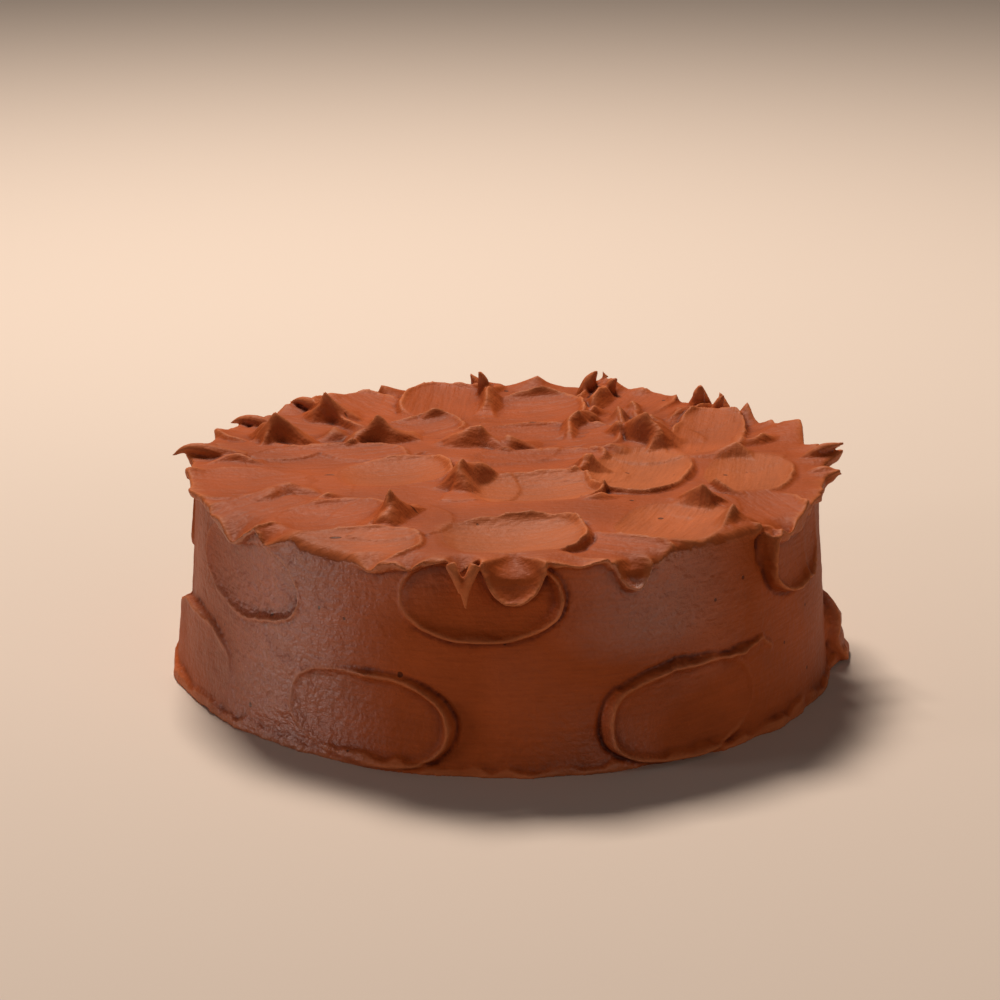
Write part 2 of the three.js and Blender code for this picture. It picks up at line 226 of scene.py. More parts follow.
@dataclass(frozen=True)
class Swipe(Print):
    """One stroke of the spatula over the top.

    at is its middle and heading the bearing it was made along. bend curves it to the left, and start
    is how far its near end fades in.
    """

    at: tuple[float, float] = (0.0, 0.0)
    heading: float = 0.0
    bend: float = 0.0
    start: float = 9.0
    streaks: float = 0.15
    bluntness: float = 2.9

    def local(self, x: np.ndarray, y: np.ndarray) -> tuple[np.ndarray, np.ndarray]:
        """Turns places on the top into places on the swipe.

        Args:
            x: Places to the right of the middle of the cake, in millimetres.
            y: Places behind it.

        Returns:
            The places along the swipe and across it.
        """
        turn = math.radians(self.heading)
        dx, dy = x - self.at[0], y - self.at[1]
        along = (dx * math.cos(turn) + dy * math.sin(turn)) / (self.length / 2)
        across = (dy * math.cos(turn) - dx * math.sin(turn)) / (self.width / 2)
        return along, across - self.bend * (along**2 - 0.3)


@dataclass(frozen=True)
class Press(Print):
    """One broad press of the spatula on the wall, at a bearing and a height.

    level is how far it stands out, climb how much more its right edge does and cant its top edge.
    """

    bearing: float = 0.0
    up: float = 0.0
    roll: float = 0.0
    bluntness: float = 2.4

    def local(self, sideways: np.ndarray, height: np.ndarray) -> tuple[np.ndarray, np.ndarray]:
        """Turns places on the unrolled wall into places on the press.

        Args:
            sideways: Places to the right of the press's bearing, in millimetres.
            height: Places up the wall.

        Returns:
            The places along the press and across it.
        """
        turn = math.radians(self.roll)
        rise = height - self.up
        along = (sideways * math.cos(turn) + rise * math.sin(turn)) / (self.length / 2)
        across = (rise * math.cos(turn) - sideways * math.sin(turn)) / (self.width / 2)
        return along, across


@dataclass(frozen=True)
class Peak:
    """A tent of icing pulled up where the spatula left it, steep in front and gentle behind.

    crest is the bearing of its ridge and lean shifts its tip along that ridge. bluntness rounds the
    tip, stray is how far its outline wanders and far how many times its size it is worked out to.
    """

    at: tuple[float, float]
    height: float
    crest: float
    spread: float
    front: float
    back: float
    lean: float = 0.0
    sharpness: float = 1.05
    bluntness: float = 0.06
    stray: float = 3.0
    far: float = 1.6

    def rise(self, x: np.ndarray, y: np.ndarray) -> np.ndarray:
        """Gives the rise of the peak, which has a flat front face and hollow flanks.

        Args:
            x: Places to the right of the middle of the cake, in millimetres.
            y: Places behind it.

        Returns:
            The rise at each place.
        """
        turn = math.radians(self.crest)
        dx, dy = x - self.at[0], y - self.at[1]
        near = np.hypot(dx, dy) < self.far * max(self.spread, self.front, self.back)
        rise = np.zeros_like(x)
        x, y, dx, dy = x[near], y[near], dx[near], dy[near]
        away = np.minimum(np.hypot(dx, dy) / 5.0, 1.0)
        dx = dx + self.stray * away * Unevenness(15, 8.0).at(x, y)
        dy = dy + self.stray * away * Unevenness(16, 8.0).at(x, y)
        along = (dx * math.cos(turn) + dy * math.sin(turn)) / self.spread
        left = dy * math.cos(turn) - dx * math.sin(turn)
        side = np.where(along > 0, along / (1.0 - self.lean), -along / (1.0 + self.lean))
        flank = np.clip(1.0 - side, 0.0, 1.0) ** self.sharpness
        front = np.clip(1.0 + left / self.front, 0.0, 1.0) ** 1.1
        back = np.clip(1.0 - left / self.back, 0.0, 1.0) ** 1.8
        slope = np.where(left > 0, back, front)
        sharp = ((slope + 1e-3) ** -3.0 + (flank + 1e-3) ** -3.0 - 1.0) ** (-1 / 3)
        round_tip = 1.0 + self.bluntness - np.hypot(1.0 - sharp, self.bluntness)
        rise[near] = self.height * round_tip.clip(0.0)
        rise[near] *= np.where(left > 0, flank, 1.0) ** 0.4
        return np.where(rise < 0.02, 0.0, rise)


@dataclass(frozen=True)
class Pull:
    """A place where the icing is pulled out into a tip, a hook or a curl.

    It goes outwards by reach, upwards by rise and anticlockwise by drift. hook bends its point
    upwards, or downwards where it is negative. spread is how far round it the icing follows.
    """

    bearing: float
    reach: float
    rise: float
    drift: float = 0.0
    spread: float = 9.0
    hook: float = 0.0
    wide: float = 1.0
    tall: float = 1.0
    out: float = 107.5
    up: float = 70.0
    sharpness: float = 1.9

    def shift(self, points: np.ndarray) -> np.ndarray:
        """Finds how far the pull moves each point.

        Args:
            points: The points of the icing, in millimetres.

        Returns:
            The shift of each point.
        """
        turn = math.radians(self.bearing)
        outwards = np.array([math.cos(turn), math.sin(turn), 0.0])
        sideways = np.array([-math.sin(turn), math.cos(turn), 0.0])
        asked = outwards * self.out + np.array([0.0, 0.0, self.up])
        root = points[np.argmin(np.sum((points - asked) ** 2, axis=1))]
        away = points - root
        gaps = (away @ outwards, away @ sideways / self.wide, away[:, 2] / self.tall)
        follow = np.maximum(0.0, 1.0 - np.sqrt(sum(gap**2 for gap in gaps)) / self.spread) ** self.sharpness
        straight = outwards * self.reach + sideways * self.drift + np.array([0.0, 0.0, self.rise])
        moved = follow[:, None] * straight
        moved[:, 2] += self.hook * follow**3
        moved[points[:, 2] < FOOT] = 0.0
        return moved


@dataclass
class IcedTop:
    """The worked top of the cake."""

    height: float = 70.0
    swipes: list[Swipe] = field(default_factory=list)
    peaks: list[Peak] = field(default_factory=list)

    def __post_init__(self) -> None:
        """Lays down the swipes in the order in which they were spread, and the peaks."""
        self.swipes = [
            Swipe(50, 40, 0, 1.6, 0.6, 1.4, ((0, 50, 1.1), (80, 45, 0.7)), at=(-78, 42), heading=160),
            Swipe(48, 36, 1, 1.3, 0.5, 1.9, ((0, 50, 1.5), (80, 45, 1.1)), at=(-50, 70), heading=130),
            Swipe(44, 34, 0.6, 1.1, 1.0, 2.0, ((0, 50, 1.3), (80, 45, 1.4)), at=(-22, 82), heading=85),
            Swipe(46, 34, 1, 1.5, 0.7, 1.6, ((0, 50, 1.5), (80, 45, 1.6)), at=(42, 82), heading=60),
            Swipe(46, 36, 0.8, 1.3, 0.3, 1.9, ((0, 50, 1.3), (80, 45, 1.1)), at=(82, 56), heading=40),
            Swipe(
                52, 26, 1, 1.8, -0.5, 1.7, ((0, 50, 1.5), (80, 45, 1.4)),
                tone=0.3, at=(72, 40), heading=80,
            ),
            Swipe(40, 36, 0.6, 1.3, 1.4, 2.5, ((0, 50, 1.3), (80, 45, 1.8)), at=(8, 72), heading=5),
            Swipe(34, 24, 0, 1.1, 0.7, 1.6, ((0, 50, 1.1), (80, 45, 1.1)), at=(-33, 48), heading=20),
            Swipe(52, 34, 0, 0.6, 0.5, 1.6, ((0, 50, 1.1), (80, 45, 0.7)), at=(14, 34), heading=10),
            Swipe(56, 32, -0.2, 0.6, 0.5, 1.4, ((0, 50, 0.7), (80, 45, 1.0)), at=(-62, 6), heading=8),
            Swipe(44, 34, 0, 0.9, -0.5, 1.4, ((0, 50, 1.1), (80, 45, 0.5)), at=(-88, -22), heading=190),
            Swipe(
                38, 32, -0.2, 0.9, 0.7, 2.3, ((0, 50, 1.6), (80, 45, 0.7)),
                at=(-38, -8), tone=0.35, heading=12,
            ),
            Swipe(48, 26, 0, 0.6, 0.3, 1.4, ((0, 50, 1.0), (80, 45, 0.6)), at=(12, 6), heading=4),
            Swipe(46, 30, -0.4, -0.6, -0.5, 1.2, ((0, 50, 1.1), (80, 45, 0.7)), at=(-84, -56), heading=215),
            Swipe(36, 30, -0.2, 0.9, 0.7, 2.0, ((0, 50, 1.6), (80, 45, 1.0)), at=(-56, -60), heading=18),
            Swipe(
                46, 26, -0.6, 0.4, 1.0, 1.4, ((0, 50, 1.0), (80, 45, 1.0)),
                at=(-50, -88), tone=0.3, heading=6,
            ),
            Swipe(
                44, 32, -0.2, 1.1, 1.0, 2.5, ((0, 50, 1.8), (80, 45, 1.1)),
                at=(10, -28), tone=0.5, heading=6,
            ),
            Swipe(
                52, 30, 0.2, 0.4, 0.5, 2.5, ((0, 50, 1.5), (80, 45, 1.1)),
                at=(82, -10), bluntness=2.2, tone=0.6, heading=262,
            ),
            Swipe(40, 28, -0.4, -0.9, 0.7, 1.6, ((0, 50, 1.3), (80, 45, 1.1)), at=(86, -52), heading=300),
            Swipe(
                44, 34, -0.2, 0.2, 0.5, 2.0, ((0, 50, 1.1), (80, 45, 1.4)),
                at=(54, -66), tone=0.5, heading=250,
            ),
            Swipe(
                58, 34, 0.2, 0.9, 0.7, 2.6, ((-40, 40, 1.4), (80, 45, 1.6)),
                at=(46, -6), bluntness=2.2, tone=0.7, heading=258,
            ),
            Swipe(40, 22, -0.8, -0.2, 1.0, 1.2, ((0, 50, 1.0), (80, 45, 1.0)), at=(34, -92), heading=340),
            Swipe(
                45, 34, -0.4, 1.1, 1.3, 3.0, ((0, 50, 2.0), (80, 45, 1.6)),
                at=(2, -80), tone=0.6, heading=6,
            ),
        ]
        self.peaks = [
            Peak((-46, 31), 10.2, 5, 13, 6.8, 15, lean=-0.2),
            Peak((-9, 25), 8.1, -6, 13, 6.8, 14, lean=0.2),
            Peak((0, 24), 5.9, 10, 10, 6.0, 12, lean=-0.3),
            Peak((-82, 29), 11.9, 12, 12, 6.8, 13, lean=-0.3),
            Peak((-15, -24), 9.6, 62, 12, 6.0, 9, lean=-0.3),
            Peak((-38, -64), 9.6, 60, 13, 6.0, 9, lean=-0.3),
            Peak((49, 30), 11.3, -50, 14, 6.8, 13, lean=0.3),
            Peak((27, -6), 5.9, 30, 9, 5.1, 8),
            Peak((80, 16), 4.3, 0, 11, 5.1, 9, lean=0.3),
            Peak((64, -46), 7.6, 150, 8, 6.8, 5, lean=-0.3),
            Peak((-62, 42), 4.3, 15, 10, 5.1, 9),
            Peak((-72, -32), 4.3, 15, 13, 6.8, 8, lean=0.3),
            Peak((-8, 82), 5.9, 86, 24, 6.0, 3, lean=-0.4),
            Peak((26, 52), 5.3, 70, 16, 4.2, 6),
            Peak((73, -66), 4.8, 65, 9, 4.2, 7),
            Peak((82, -70), 4.8, 100, 8, 4.2, 5),
            Peak((34, 84), 6.5, 78, 16, 4.2, 6, lean=-0.3),
            Peak((62, 66), 3.3, 60, 14, 6.0, 5),
            Peak((-67, 62), 7.5, 8, 11, 5.5, 10, lean=-0.3),
            Peak((40, 61), 6.0, 82, 10, 3.6, 6, lean=0.2),
            Peak((46, 73), 5.0, 104, 9, 3.0, 5),
            Peak((32, 67), 4.4, 58, 9, 3.2, 5, lean=-0.2),
            Peak((52, 55), 4.0, 96, 8, 3.0, 5),
            Peak((90, 31), 3.6, 20, 8, 3.2, 5, lean=0.3),
            Peak((69, -29), 2.8, 140, 7, 3.0, 4),
            Peak((31, -41), 2.4, 30, 7, 2.6, 4),
            Peak((-59, -42), 3.0, 20, 8, 3.0, 4),
            Peak((-70, 71), 3.4, 40, 8, 3.4, 5),
            Peak((-27, 61), 2.8, 10, 8, 3.0, 4),
            Peak((-93, 6), 3.0, 8, 9, 3.0, 4),
            Peak((36, 19), 2.6, 15, 8, 2.8, 4),
        ]

    def surface(self, x: np.ndarray, y: np.ndarray) -> tuple[np.ndarray, Skin]:
        """Works out the top.

        Args:
            x: Places to the right of the middle, in millimetres.
            y: Places behind the middle.

        Returns:
            The height of the top at each place, and the worked skin there.
        """
        plain = self.height + 0.8 * Unevenness(1, 24.0).at(x, y)
        skin = Skin(
            base=np.full_like(x, self.height),
            wobble=1.0 * Unevenness(3, 13.0).at(x, y) + 0.35 * Unevenness(4, 4.0).at(x, y),
            rough=1.0 + 0.75 * Unevenness(2, 11.0).at(x, y) + 0.4 * Unevenness(19, 3.6).at(x, y),
            comb=np.stack([x, y, np.zeros_like(x)], -1),
            level=plain,
            tone=np.zeros_like(x),
        )
        for number, swipe in enumerate(self.swipes):
            swipe.stamp(number, *swipe.local(x, y), skin)
        rise = np.max([peak.rise(x, y) for peak in self.peaks], axis=0)
        return skin.level + rise, skin


@dataclass
class IcedWall:
    """The spread wall of the cake, with its presses, its lapped rim and its scraped foot.

    sticky_side is the bearing where the spatula lifted off roughest, and sticky_reach how far that
    goes clockwise and anticlockwise. The wall is greasy above smeared_height round smeared_side.
    scooped and rounded list the bearings and half widths where the lap of the rim is scooped away or
    smoothed over. lap and skirt are the thicknesses of the rim's lap and of the foot's.
    """

    rim_radius: float = 106.5
    foot_radius: float = 111.5
    height: float = 70.0
    hollow: float = 1.3
    skirt: float = 2.2
    sticky_side: float = -130.0
    sticky_reach: tuple[float, float] = (17.0, 15.5)
    smeared_side: float = -64.0
    smeared_reach: float = 15.0
    smeared_height: tuple[float, float] = (28.0, 46.0)
    scooped: tuple[tuple[float, float], ...] = ((-88.8, 5.5), (-68.5, 4.0))
    lap: float = 2.3
    rounded: tuple[tuple[float, float], ...] = ((-124.0, 10.0), (-52.0, 14.0))
    shoulder: float = 4.0
    presses: list[Press] = field(default_factory=list)

    def __post_init__(self) -> None:
        """Lays out the presses that show, and carries the two rows on round the back."""
        self.presses = [
            Press(66, 32, 2.0, -2.0, 0.2, 0.8, ((60, 50, 1.2),), bearing=-163, up=14, roll=4),
            Press(
                54, 25, -1.0, -1.4, -0.2, 0.8, ((-40, 80, 1.3), (180, 70, 0.8)),
                bearing=-143, up=52, roll=-6,
            ),
            Press(
                55, 29, 0.2, 1.2, -0.8, 1.6, ((10, 50, 3.0), (70, 50, 2.2), (180, 40, 0.8)),
                bearing=-114, up=16, roll=-4,
            ),
            Press(
                50, 26, -0.8, 0.3, -2.2, 2.2, ((-90, 75, 2.8), (-5, 45, 3.6), (150, 40, 1.6)),
                bearing=-94.5, up=57,
            ),
            Press(34, 6, 0.4, -0.2, 0.6, 0.3, ((90, 80, 2.6),), bearing=-47, up=28, roll=2),
            Press(
                55, 30, 1.3, -1.9, -0.4, 1.8, ((190, 60, 3.4), (100, 55, 2.6), (-75, 45, 2.0)),
                bearing=-59, up=16.5, roll=2,
            ),
            Press(44, 30, 2.8, -1.8, -0.4, 1.8, ((180, 50, 3.0), (-90, 60, 2.4)), bearing=-28.5, up=60),
            Press(40, 26, 2.0, -1.6, 0.0, 1.0, ((0, 50, 1.0),), bearing=6, up=9, roll=-3),
            Press(20, 24, 2.2, 0.2, -4.4, 2.6, ((-90, 60, 1.8),), bearing=-88.8, up=69, bluntness=2.0),
            Press(13, 17, 1.6, 0.8, -3.0, 1.8, ((-100, 60, 1.3),), bearing=-68.5, up=68, bluntness=1.6),
        ]
        self.presses += self.hidden_row(first=21, count=4, up=56, length=52, width=26, seed=1)
        self.presses += self.hidden_row(first=53, count=3, up=17, length=57, width=30, seed=4)

    def peel(self, x: np.ndarray, y: np.ndarray, height: np.ndarray) -> np.ndarray:
        """Gives the fine bumps where the spatula lifted off the sticky wall."""
        bumps = Unevenness(8, 4.5).at(x, y, height) + 0.7 * Unevenness(18, 2.4).at(x, y, height)
        return 0.40 * self.sticky(x, y, height) * bumps

    def sticky(self, x: np.ndarray, y: np.ndarray, height: np.ndarray) -> np.ndarray:
        """Gives how rough and greasy the wall was left.

        Args:
            x: Places to the right of the middle of the cake, in millimetres.
            y: Places behind it.
            height: Places up the wall.

        Returns:
            A number from 0.2 to 1 for each place.
        """
        bearing = np.degrees(np.arctan2(y, x))
        past = turn_between(bearing, self.sticky_side)
        clockwise, anticlockwise = self.sticky_reach
        lifted = np.exp(-((past / np.where(past > 0, anticlockwise, clockwise)) ** 2))
        patch = smooth_step(Unevenness(17, 34.0).at(x, y, height), -0.1, 0.6)
        aside = turn_between(bearing, self.smeared_side) / self.smeared_reach
        smeared = np.exp(-(aside**2)) * smooth_step(height, *self.smeared_height)
        rest = np.maximum(0.28 * patch, 0.62 * smeared)
        return np.clip(0.2 + 0.8 * lifted + rest * (1.0 - lifted), 0.0, 1.0)

    def hidden_row(
        self, first: float, count: int, up: float, length: float, width: float, seed: int
    ) -> list[Press]:
        """Lays out presses on the hidden side, a seventh of a turn apart and no two alike.

        Args:
            first: The bearing of the first press.
            count: How many there are.
            up: Their height above the base, in millimetres.
            length: Their length.
            width: Their width.
            seed: What sets this row apart from others.

        Returns:
            The presses.
        """
        row = []
        for i in range(count):
            waves = [math.sin(a * (2.1 * i) + b * up + c * seed) for a, b, c in WAVES]
            vary = sum(waves) / len(waves)
            row.append(
                Press(
                    length * (1 + 0.15 * vary),
                    width * (1 - 0.1 * vary),
                    0.5 + 0.5 * vary,
                    -1.3 * vary,
                    -0.8,
                    1.5,
                    ((200 + 60 * vary, 70, 1.4), (60, 60, 1.0 + 0.5 * vary)),
                    bearing=first + TURN / 7 * i + 5 * vary,
                    up=up + 3 * vary,
                    roll=8 * vary,
                )
            )
        return row

    def plain(self, bearing: np.ndarray, height: np.ndarray) -> np.ndarray:
        """Gives the radius of the wall before it is pressed.

        Args:
            bearing: Places round the cake, in degrees.
            height: Places up it, in millimetres.

        Returns:
            The radius at each place.
        """
        turn = np.radians(bearing)
        x, y = np.cos(turn) * self.rim_radius, np.sin(turn) * self.rim_radius
        flare = np.clip(1.0 - height / self.height, 0.0, 1.0) ** self.hollow
        radius = self.rim_radius + (self.foot_radius - self.rim_radius) * flare
        radius = radius + 0.5 * Unevenness(7, 30.0).at(x, y, height) + self.peel(x, y, height)
        ragged = 2.6 * Unevenness(9, 13.0).at(x, y) + 1.2 * Unevenness(10, 4.5).at(x, y)
        lap_edge = self.height - 4.0 - ragged
        lap = np.full_like(bearing, self.lap)
        for middle, width in self.scooped:
            lap *= 1.0 - np.exp(-((turn_between(bearing, middle) / width) ** 4))
        square = np.ones_like(bearing)
        for middle, width in self.rounded:
            square *= 1.0 - np.exp(-((turn_between(bearing, middle) / width) ** 4))
        over = np.clip((height - self.height + self.shoulder) / self.shoulder, 0.0, 1.0)
        radius = radius - self.shoulder * (1.0 - square) * (1.0 - np.sqrt(1.0 - over**2))
        radius = radius + lap * square * smooth_step(height - lap_edge, -0.7, 0.7)
        skirt_edge = 3.6 + 2.2 * Unevenness(11, 16.0).at(x, y) + 1.4 * Unevenness(12, 4.6).at(x, y)
        thickness = 0.6 + 0.5 * Unevenness(13, 22.0).at(x, y) + 0.4 * Unevenness(41, 6.0).at(x, y)
        skirt = self.skirt * thickness
        return radius + skirt * (1.0 - smooth_step(height - skirt_edge, -0.35, 0.35))

    def surface(self, bearing: np.ndarray, height: np.ndarray) -> tuple[np.ndarray, Skin]:
        """Works out the wall.

        Args:
            bearing: Places round the cake, in degrees.
            height: Places up it, in millimetres.

        Returns:
            The radius of the wall at each place, and the worked skin there.
        """
        plain = self.plain(bearing, height)
        turn = np.radians(bearing)
        x, y = np.cos(turn) * self.rim_radius, np.sin(turn) * self.rim_radius
        skin = Skin(
            base=plain,
            wobble=0.5 * Unevenness(5, 8.0).at(x, y, height) + 0.2 * Unevenness(6, 3.0).at(x, y, height),
            rough=1.0 + 0.6 * Unevenness(14, 9.0).at(x, y, height),
            comb=np.stack([turn * self.rim_radius, height, np.zeros_like(height)], -1),
            level=plain.copy(),
            tone=np.zeros_like(height),
        )
        for number, press in enumerate(self.presses):
            sideways = np.radians(turn_between(bearing, press.bearing)) * self.rim_radius
            press.stamp(100 + number, *press.local(sideways, height), skin)
        return skin.level, skin


@dataclass(frozen=True)
class Strand:
    """A thin round strand of icing drawn out to a point, by its places and its radii in millimetres."""

    places: tuple[tuple[float, float, float], ...]
    radii: tuple[float, ...]

    def build(self) -> bpy.types.Object:
        """Draws the strand as a closed solid.

        Returns:
            The strand.
        """
        line = bpy.data.curves.new("strand", "CURVE")
        line.dimensions = "3D"
        line.bevel_depth = MM
        line.bevel_resolution = 3
        line.use_fill_caps = True
        line.resolution_u = 6
        spline = line.splines.new("BEZIER")
        spline.bezier_points.add(len(self.places) - 1)
        for point, place, radius in zip(spline.bezier_points, self.places, self.radii):
            point.co = Vector(place) * MM
            point.radius = radius
            point.handle_left_type = point.handle_right_type = "AUTO"
        strand = bpy.data.objects.new("strand", line)
        bpy.context.scene.collection.objects.link(strand)
        bpy.ops.object.select_all(action="DESELECT")
        strand.select_set(True)
        bpy.context.view_layer.objects.active = strand
        bpy.ops.object.convert(target="MESH")
        return strand


@dataclass(frozen=True)
class ButtercreamFinish:
    """Chocolate buttercream: a soft satin brown, with a painted highlight on thin lips and painted shade in
    the creases and pits.

    Textures read at a place in the room have their scale for each metre, and those read along the strokes
    for each millimetre. pale is a paler brown mixed into the floors of some swipes, as much as tone says.
    The stops of the edge ramp say how sharp the skin is where it takes each brown: painted shade in the
    crease, the body on the flat and a painted highlight on the thin lip.
    """

    name: str = "chocolate_buttercream"
    body: tuple[float, float, float] = (0.33, 0.067, 0.0140)
    # Painted highlight: the paler brown given to thin lips.
    lip: tuple[float, float, float] = (0.44, 0.125, 0.042)
    # Painted shade: the darker brown given to creases.
    crease: tuple[float, float, float] = (0.11, 0.016, 0.004)
    pale: tuple[float, float, float] = (0.44, 0.128, 0.044)
    painted_light_stops: tuple[float, float, float, float] = (0.10, 0.45, 0.55, 0.88)
    roughness: float = 0.56
    gloss: float = 0.11
    sheen: float = 0.42
    sheen_index: float = 1.8
    streak_scale: float = 0.9
    streak_stretch: tuple[float, float, float] = (0.10, 1.0, 1.0)
    streak_height: float = 0.9
    crumb_scale: float = 620.0
    crumb_height: float = 0.7
    peel_scale: float = 480.0
    peel_height: float = 6.5
    mottle_scale: float = 30.0
    pit_scale: float = 120.0
    pit_size: float = 0.13
    pit_depth: float = -1.2
    # How dark a pit is painted: painted shade in the hollow.
    pit_painted_shade: float = 0.36
    tear_stretch: tuple[float, float, float] = (0.035, 0.10, 0.10)
    bump_strength: float = 0.34
    bump_distance: float = 0.0008

    def material(self) -> bpy.types.Material:
        """Builds the material from nodes.

        Returns:
            The material.
        """
        material = bpy.data.materials.new(self.name)
        material.use_nodes = True
        nodes = material.node_tree.nodes
        place = nodes.new("ShaderNodeTexCoord").outputs["Object"]
        comb = self.stored(material, "comb").outputs["Vector"]
        sticky = self.stored(material, "sticky").outputs["Fac"]
        drag = self.stretched(material, comb, self.streak_stretch)
        streaks = self.noise(material, drag, self.streak_scale, 3.0)
        crumb = self.noise(material, place, self.crumb_scale, 5.0)
        drawn = self.stretched(material, comb, self.tear_stretch)
        on_top = self.span(material, sticky, (0.16, 0.2), (1.0, 0.0))
        tears = self.combined(material, "MULTIPLY", self.pits(material, drawn, 1.0), on_top)
        round_pits = self.pits(material, place, self.pit_scale)
        pits = self.combined(material, "MAXIMUM", round_pits, tears)
        self.colour(material, place, streaks, pits)
        self.relief(material, place, streaks, crumb, pits, sticky)
        self.shine(material, crumb, sticky)
        return material

    def colour(
        self,
        material: bpy.types.Material,
        place: bpy.types.NodeSocket,
        streaks: bpy.types.NodeSocket,
        pits: bpy.types.NodeSocket,
    ) -> None:
        """Colours the icing by how sharp its edges are, with painted shade in creases and pits and a
        painted highlight on thin lips, mottled and streaked.

        Args:
            material: The material being built.
            place: Where the mottling is read.
            streaks: The streaks of the spatula.
            pits: A socket that is 1 inside a pit.
        """
        nodes, links = material.node_tree.nodes, material.node_tree.links
        # Painted shade in creases and a painted highlight on thin lips, picked by how sharp the skin is.
        ramp = nodes.new("ShaderNodeValToRGB")
        stops = ramp.color_ramp.elements
        stops[0].position, stops[1].position = self.painted_light_stops[:2]
        for spot in self.painted_light_stops[2:]:
            stops.new(spot)
        for stop, colour in zip(stops, (self.crease, self.body, self.body, self.lip)):
            stop.color = (*colour, 1.0)
        links.new(self.stored(material, "edge").outputs["Fac"], ramp.inputs["Fac"])

        blotches = self.noise(material, place, self.mottle_scale, 4.0)
        mottle = self.span(material, blotches, (0.3, 0.7), (0.84, 1.16))
        grain = self.span(material, streaks, (0.3, 0.7), (0.93, 1.07))
        # Painted shade inside the pits and tears.
        whole = self.span(material, pits, (0.0, 1.0), (1.0, self.pit_painted_shade))
        spread = self.combined(material, "MULTIPLY", mottle, grain)
        tone = self.combined(material, "MULTIPLY", spread, whole)
        milky = nodes.new("ShaderNodeMix")
        milky.data_type = "RGBA"
        milky.inputs["B"].default_value = (*self.pale, 1.0)
        links.new(ramp.outputs["Color"], milky.inputs["A"])
        links.new(self.stored(material, "tone").outputs["Fac"], milky.inputs["Factor"])
        shade = nodes.new("ShaderNodeVectorMath")
        shade.operation = "SCALE"
        links.new(milky.outputs["Result"], shade.inputs["Vector"])
        links.new(tone, shade.inputs["Scale"])
        links.new(shade.outputs["Vector"], nodes["Principled BSDF"].inputs["Base Color"])

    def relief(
        self,
        material: bpy.types.Material,
        place: bpy.types.NodeSocket,
        streaks: bpy.types.NodeSocket,
        crumb: bpy.types.NodeSocket,
        pits: bpy.types.NodeSocket,
        sticky: bpy.types.NodeSocket,
    ) -> None:
        """Gives the icing its finest relief: streaks, crumb, the peel of the wall, and pits.

        Args:
            material: The material being built.
            place: Where the peel is read.
            streaks: The streaks of the spatula.
            crumb: The grain of the icing.
            pits: A socket that is 1 inside a pit.
            sticky: How rough the wall was left.
        """
        nodes, links = material.node_tree.nodes, material.node_tree.links
        fine = self.combined(material, "MULTIPLY", crumb, self.crumb_height)
        peel = self.noise(material, place, self.peel_scale, 4.0)
        lifted = self.combined(material, "MULTIPLY", peel, sticky)
        height = self.combined(material, "MULTIPLY_ADD", streaks, self.streak_height, fine)
        height = self.combined(material, "MULTIPLY_ADD", lifted, self.peel_height, height)
        height = self.combined(material, "MULTIPLY_ADD", pits, self.pit_depth, height)
        bump = nodes.new("ShaderNodeBump")
        bump.inputs["Strength"].default_value = self.bump_strength
        bump.inputs["Distance"].default_value = self.bump_distance
        links.new(height, bump.inputs["Height"])
        shader = nodes["Principled BSDF"]
        links.new(bump.outputs["Normal"], shader.inputs["Normal"])
        links.new(bump.outputs["Normal"], shader.inputs["Coat Normal"])

    def shine(
        self, material: bpy.types.Material, crumb: bpy.types.NodeSocket, sticky: bpy.types.NodeSocket
    ) -> None:
        """Makes the icing satin, with a greasy sheen where the spatula lifted off.

        Args:
            material: The material being built.
            crumb: The grain of the icing, which varies how satin it is.
            sticky: How greasy the wall was left.
        """
        links = material.node_tree.links
        shader = material.node_tree.nodes["Principled BSDF"]
        satin = self.span(material, crumb, (0.3, 0.7), (self.roughness - 0.06, self.roughness + 0.06))
        links.new(satin, shader.inputs["Roughness"])
        shader.inputs["Specular IOR Level"].default_value = self.gloss
        shader.inputs["Coat Roughness"].default_value = self.sheen
        shader.inputs["Coat IOR"].default_value = self.sheen_index
        links.new(self.span(material, sticky, (0.3, 1.0), (0.0, 1.0)), shader.inputs["Coat Weight"])

    def pits(
        self, material: bpy.types.Material, place: bpy.types.NodeSocket, scale: float
    ) -> bpy.types.NodeSocket:
        """Scatters the small pits left by air bubbles.

        Args:
            material: The material being built.
            place: Where the pattern is read.
            scale: How many cells there are for each unit of place.

        Returns:
            A socket that is 1 inside a pit and 0 elsewhere.
        """
        nodes, links = material.node_tree.nodes, material.node_tree.links
        cells = nodes.new("ShaderNodeTexVoronoi")
        cells.inputs["Scale"].default_value = scale
        links.new(place, cells.inputs["Vector"])
        pick = nodes.new("ShaderNodeSeparateColor")
        links.new(cells.outputs["Color"], pick.inputs["Color"])
        size = self.span(material, pick.outputs["Red"], (0.68, 1.0), (0.0, self.pit_size))
        inside = self.combined(material, "SUBTRACT", size, cells.outputs["Distance"])
        return self.span(material, inside, (0.0, 0.02), (0.0, 1.0))

    @staticmethod
    def stretched(
        material: bpy.types.Material, place: bpy.types.NodeSocket, scale: tuple[float, float, float]
    ) -> bpy.types.NodeSocket:
        """Draws a pattern out along one direction.

        Args:
            material: The material being built.
            place: Where the pattern is read.
            scale: How far apart its places lie in each direction, less than 1 where it is drawn out.

        Returns:
            The socket of the places that the pattern is then read at.
        """
        mapping = material.node_tree.nodes.new("ShaderNodeMapping")
        mapping.inputs["Scale"].default_value = scale
        material.node_tree.links.new(place, mapping.inputs["Vector"])
        return mapping.outputs["Vector"]

    @staticmethod
    def stored(material: bpy.types.Material, name: str) -> bpy.types.Node:
        """Reads what the piece stores at each point.

        Args:
            material: The material being built.
            name: The name under which it is stored.

        Returns:
            The node that reads it.
        """
        reader = material.node_tree.nodes.new("ShaderNodeAttribute")
        reader.attribute_name = name
        return reader

